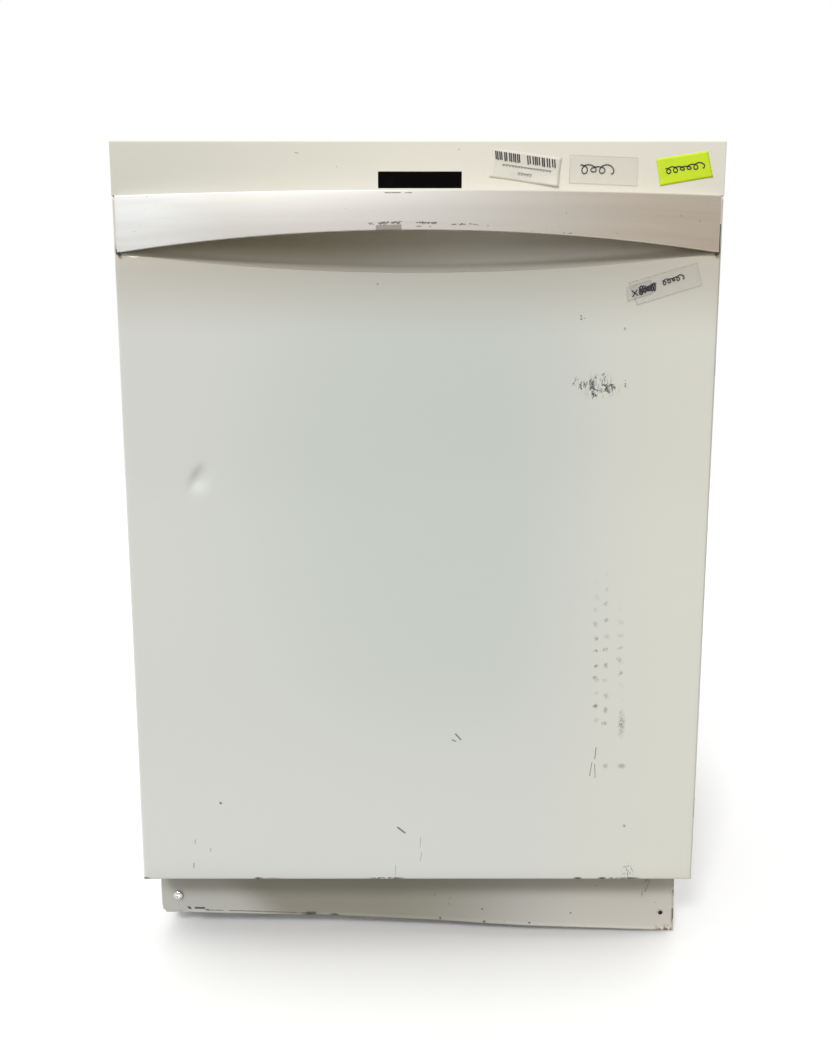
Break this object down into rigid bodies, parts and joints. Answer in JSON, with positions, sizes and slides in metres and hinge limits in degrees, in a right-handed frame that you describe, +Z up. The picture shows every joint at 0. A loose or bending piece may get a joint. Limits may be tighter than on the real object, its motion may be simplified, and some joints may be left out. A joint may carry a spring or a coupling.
{
  "type": "built in dishwasher",
  "caption": "Built-in under-counter dishwasher with a bowed handle band, drop-down door, sliding racks, spray arms, sump and recessed toe panel on levelling feet.",
  "frame": {"origin": "on the floor, under the centre of the bounding box", "axes": "+Z up, +Y back into the cabinet, +X to the right of someone facing the door; the door face looks towards -Y"},
  "size_m": [0.6, 0.6198, 0.865],
  "materials": {
    "white_enamel": "gloss white enamel on steel, worn",
    "white_plastic": "semi-gloss off-white moulding",
    "handle_finish": "satin white, slightly worn",
    "black_glass": "smoked gloss window",
    "grey_plastic": "moulded light grey",
    "dark_plastic": "moulded dark grey",
    "tub_steel": "satin stainless sheet",
    "galvanised_steel": "zinc coated sheet",
    "polished_steel": "bright stainless",
    "rack_coat": "grey nylon coated wire",
    "rubber": "moulded rubber",
    "blanket_felt": "pressed dark felt"
  },
  "bodies": {
    "cabinet": {"tub": "tub_steel", "door_seal": "rubber", "sump": "grey_plastic", "filter_plate": "polished_steel", "heating_element": "polished_steel", "feed_tube": "grey_plastic", "top_spray_head": "grey_plastic", "rail_outer_left": "polished_steel", "rail_outer_right": "polished_steel", "base_frame": "galvanised_steel", "circulation_pump": "dark_plastic", "drain_pump": "dark_plastic", "inlet_valve": "dark_plastic", "junction_box": "galvanised_steel", "drain_hose": "rubber", "insulation_blanket": "blanket_felt", "kick_panel": "white_enamel", "kick_screw": "polished_steel", "latch_strike": "polished_steel", "counter_bracket_left": "galvanised_steel", "counter_bracket_right": "galvanised_steel", "door_spring_left": "polished_steel", "door_spring_right": "polished_steel"},
    "door": {"outer_panel": "white_enamel", "console": "white_plastic", "handle_band": "handle_finish", "display_window": "black_glass", "inner_liner": "tub_steel", "dispenser_body": "grey_plastic", "door_vent": "grey_plastic", "hinge_arm_left": "galvanised_steel", "hinge_arm_right": "galvanised_steel"},
    "detergent_lid": {"dispenser_lid": "grey_plastic"},
    "rinse_aid_cap": {"rinse_cap": "dark_plastic"},
    "latch": {"latch_pawl": "dark_plastic"},
    "upper_rack_body": {"upper_rack": "rack_coat", "upper_arm_feed": "grey_plastic"},
    "shelf": {"cup_shelf": "rack_coat"},
    "upper_arm": {"upper_spray_arm": "grey_plastic"},
    "rail_middles": {"rail_mid_left": "polished_steel", "rail_mid_right": "polished_steel"},
    "lower_rack_body": {"lower_rack": "rack_coat", "silverware_basket": "grey_plastic"},
    "tines": {"tine_row": "rack_coat"},
    "lower_arm": {"lower_spray_arm": "grey_plastic"},
    "float_cap": {"float": "grey_plastic"},
    "filter": {"filter_cup": "grey_plastic"},
    "wheel_front_left_body": {"wheel_front_left": "grey_plastic"},
    "wheel_front_right_body": {"wheel_front_right": "grey_plastic"},
    "wheel_rear_left_body": {"wheel_rear_left": "grey_plastic"},
    "wheel_rear_right_body": {"wheel_rear_right": "grey_plastic"},
    "button_1_body": {"button_1": "dark_plastic"},
    "button_2_body": {"button_2": "dark_plastic"},
    "button_3_body": {"button_3": "dark_plastic"},
    "button_4_body": {"button_4": "dark_plastic"},
    "button_5_body": {"button_5": "dark_plastic"},
    "foot_front_left_body": {"foot_front_left": "dark_plastic"},
    "foot_front_right_body": {"foot_front_right": "dark_plastic"},
    "foot_rear_left_body": {"foot_rear_left": "dark_plastic"},
    "foot_rear_right_body": {"foot_rear_right": "dark_plastic"}
  },
  "joints": [
    {"name": "door_hinge", "type": "hinge", "parent": "cabinet", "child": "door", "pos_m": [0, -0.263, 0.13], "axis": [1, 0, 0], "range_deg": [0, 90], "deforming": ["door_spring_left", "door_spring_right"]},
    {"name": "upper_rack_slide", "type": "slide", "parent": "cabinet", "child": "upper_rack_body", "axis": [0, -1, 0], "range_m": [0, 0.44]},
    {"name": "rail_middle_slide", "type": "slide", "parent": "cabinet", "child": "rail_middles", "axis": [0, -1, 0], "range_m": [0, 0.22]},
    {"name": "lower_rack_slide", "type": "slide", "parent": "cabinet", "child": "lower_rack_body", "axis": [0, -1, 0], "range_m": [0, 0.17]},
    {"name": "upper_arm_spin", "type": "hinge", "parent": "upper_rack_body", "child": "upper_arm", "pos_m": [0, 0.02, 0.479], "axis": [0, 0, 1], "continuous": true},
    {"name": "cup_shelf_fold", "type": "hinge", "parent": "upper_rack_body", "child": "shelf", "pos_m": [-0.2365, 0, 0.602], "axis": [0, -1, 0], "range_deg": [0, 80]},
    {"name": "tine_row_fold", "type": "hinge", "parent": "lower_rack_body", "child": "tines", "pos_m": [0, 0.045, 0.215], "axis": [-1, 0, 0], "range_deg": [0, 75]},
    {"name": "lower_arm_spin", "type": "hinge", "parent": "cabinet", "child": "lower_arm", "pos_m": [0, 0.0285, 0.186], "axis": [0, 0, 1], "continuous": true},
    {"name": "float_lift", "type": "slide", "parent": "cabinet", "child": "float_cap", "axis": [0, 0, 1], "range_m": [0, 0.008]},
    {"name": "filter_twist", "type": "hinge", "parent": "cabinet", "child": "filter", "pos_m": [0, -0.0155, 0.1], "axis": [0, 0, 1], "range_deg": [0, 60]},
    {"name": "detergent_lid_slide", "type": "slide", "parent": "door", "child": "detergent_lid", "axis": [0, 0, 1], "range_m": [0, 0.06]},
    {"name": "rinse_cap_turn", "type": "hinge", "parent": "door", "child": "rinse_aid_cap", "pos_m": [0.05, -0.2177, 0.5], "axis": [0, 1, 0], "range_deg": [0, 90]},
    {"name": "latch_lift", "type": "hinge", "parent": "door", "child": "latch", "pos_m": [0, -0.26, 0.85], "axis": [1, 0, 0], "range_deg": [0, 12]},
    {"name": "wheel_front_left_roll", "type": "hinge", "parent": "lower_rack_body", "child": "wheel_front_left_body", "pos_m": [-0.2545, -0.095, 0.185], "axis": [1, 0, 0], "continuous": true},
    {"name": "wheel_front_right_roll", "type": "hinge", "parent": "lower_rack_body", "child": "wheel_front_right_body", "pos_m": [0.2545, -0.095, 0.185], "axis": [1, 0, 0], "continuous": true},
    {"name": "wheel_rear_left_roll", "type": "hinge", "parent": "lower_rack_body", "child": "wheel_rear_left_body", "pos_m": [-0.2545, 0.17, 0.185], "axis": [1, 0, 0], "continuous": true},
    {"name": "wheel_rear_right_roll", "type": "hinge", "parent": "lower_rack_body", "child": "wheel_rear_right_body", "pos_m": [0.2545, 0.17, 0.185], "axis": [1, 0, 0], "continuous": true},
    {"name": "button_1_press", "type": "slide", "parent": "door", "child": "button_1_body", "axis": [0, 0, -1], "range_m": [0, 0.0015], "stiffness_N_per_m": 400, "springref_m": -0.0015},
    {"name": "button_2_press", "type": "slide", "parent": "door", "child": "button_2_body", "axis": [0, 0, -1], "range_m": [0, 0.0015], "stiffness_N_per_m": 400, "springref_m": -0.0015},
    {"name": "button_3_press", "type": "slide", "parent": "door", "child": "button_3_body", "axis": [0, 0, -1], "range_m": [0, 0.0015], "stiffness_N_per_m": 400, "springref_m": -0.0015},
    {"name": "button_4_press", "type": "slide", "parent": "door", "child": "button_4_body", "axis": [0, 0, -1], "range_m": [0, 0.0015], "stiffness_N_per_m": 400, "springref_m": -0.0015},
    {"name": "button_5_press", "type": "slide", "parent": "door", "child": "button_5_body", "axis": [0, 0, -1], "range_m": [0, 0.0015], "stiffness_N_per_m": 400, "springref_m": -0.0015},
    {"name": "foot_front_left_screw", "type": "slide", "parent": "cabinet", "child": "foot_front_left_body", "axis": [0, 0, -1], "range_m": [0, 0.025]},
    {"name": "foot_front_right_screw", "type": "slide", "parent": "cabinet", "child": "foot_front_right_body", "axis": [0, 0, -1], "range_m": [0, 0.025]},
    {"name": "foot_rear_left_screw", "type": "slide", "parent": "cabinet", "child": "foot_rear_left_body", "axis": [0, 0, -1], "range_m": [0, 0.025]},
    {"name": "foot_rear_right_screw", "type": "slide", "parent": "cabinet", "child": "foot_rear_right_body", "axis": [0, 0, -1], "range_m": [0, 0.025]}
  ],
  "couplings": [
    {"joint": "upper_rack_slide", "follows": "door_hinge", "m_per_rad": 0.28},
    {"joint": "rail_middle_slide", "follows": "door_hinge", "m_per_rad": 0.14},
    {"joint": "lower_rack_slide", "follows": "door_hinge", "m_per_rad": 0.108},
    {"joint": "wheel_front_left_roll", "follows": "door_hinge", "ratio": 6.3529},
    {"joint": "wheel_front_right_roll", "follows": "door_hinge", "ratio": 6.3529},
    {"joint": "wheel_rear_left_roll", "follows": "door_hinge", "ratio": 6.3529},
    {"joint": "wheel_rear_right_roll", "follows": "door_hinge", "ratio": 6.3529}
  ]
}
